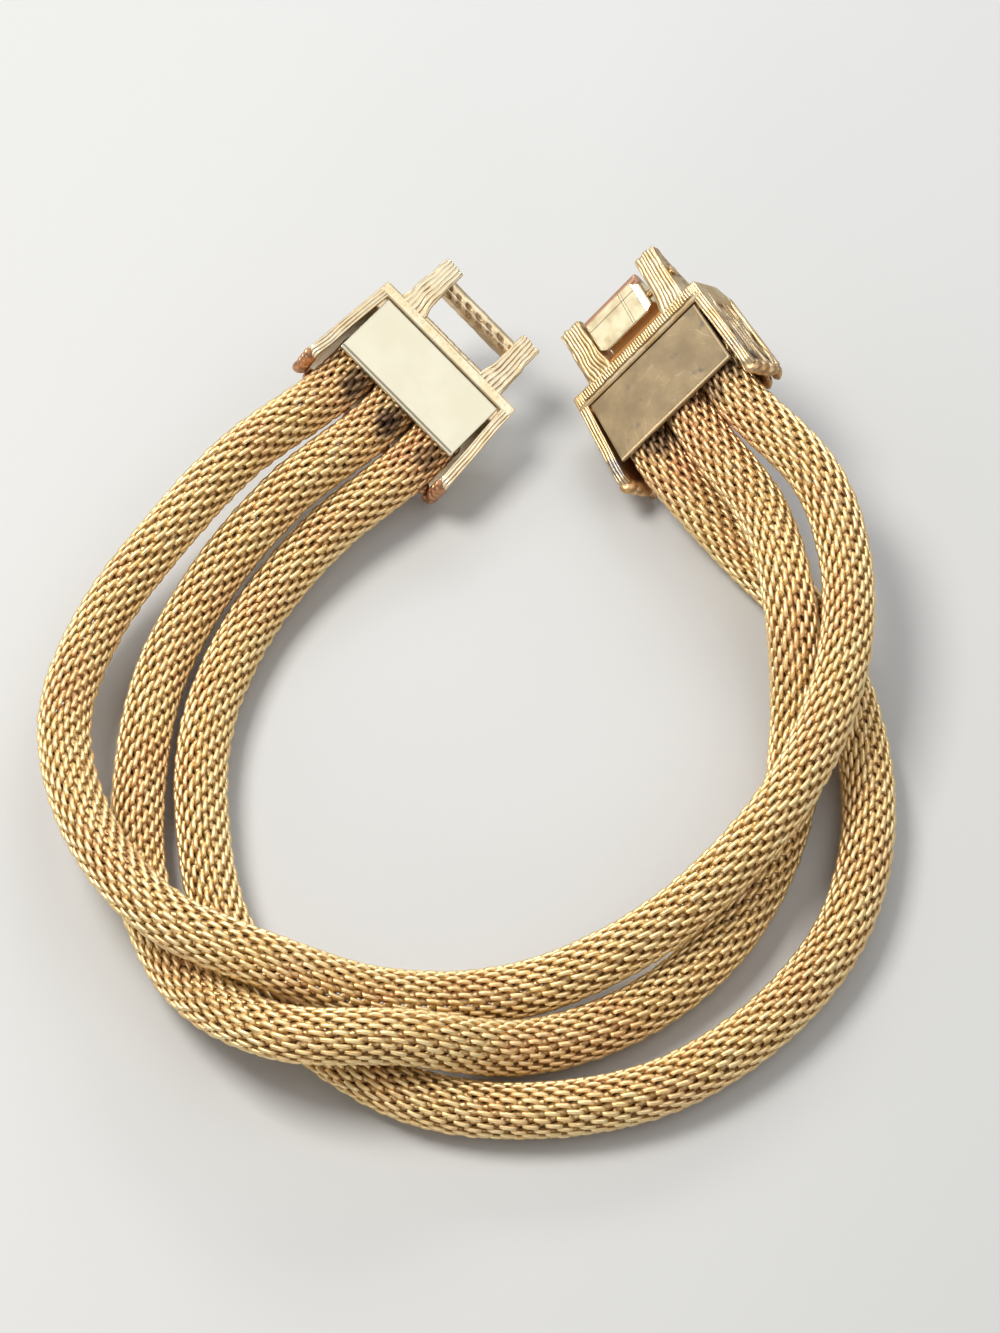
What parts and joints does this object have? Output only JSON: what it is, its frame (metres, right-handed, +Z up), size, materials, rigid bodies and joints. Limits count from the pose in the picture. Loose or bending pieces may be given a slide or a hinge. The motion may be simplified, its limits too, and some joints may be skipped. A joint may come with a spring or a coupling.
{
  "type": "mesh bracelet",
  "caption": "Unclasped bracelet of tubular mesh strands held side by side in two box clasp halves, one with a cross-bar loop and one with a small fold-over lever.",
  "frame": {"origin": "on the surface that the bracelet lies on, under the middle of its footprint", "axes": "+Z up from that surface, +Y from the far bend of the strands towards the clasp halves, +X towards the hook half"},
  "size_m": [0.0734, 0.083, 0.0163],
  "materials": {
    "mesh": "woven gold-tone wire, browned in its hollows",
    "loop_cast": "pale gold-tone plating, satin, ribbed",
    "loop_plate": "smooth pale satin",
    "hook_cast": "gold-tone plating with brown tarnish and wear",
    "hook_plate": "smooth, browned and scratched",
    "pin": "plain drawn wire",
    "lever": "polished sheet with a copper-coloured rolled edge"
  },
  "bodies": {
    "bracelet": {"strand_outer": "mesh", "strand_middle": "mesh", "strand_inner": "mesh", "loop_clasp": "loop_cast", "loop_plate": "loop_plate", "hook_clasp": "hook_cast", "hook_plate": "hook_plate", "hinge_pin": "pin"},
    "lever": {"lever": "lever"}
  },
  "joints": [
    {"name": "lever_hinge", "type": "hinge", "parent": "bracelet", "child": "lever", "pos_m": [0.01427, 0.036, 0.00988], "axis": [0.646, 0.2876, 0.7071], "range_deg": [0, 110]}
  ]
}
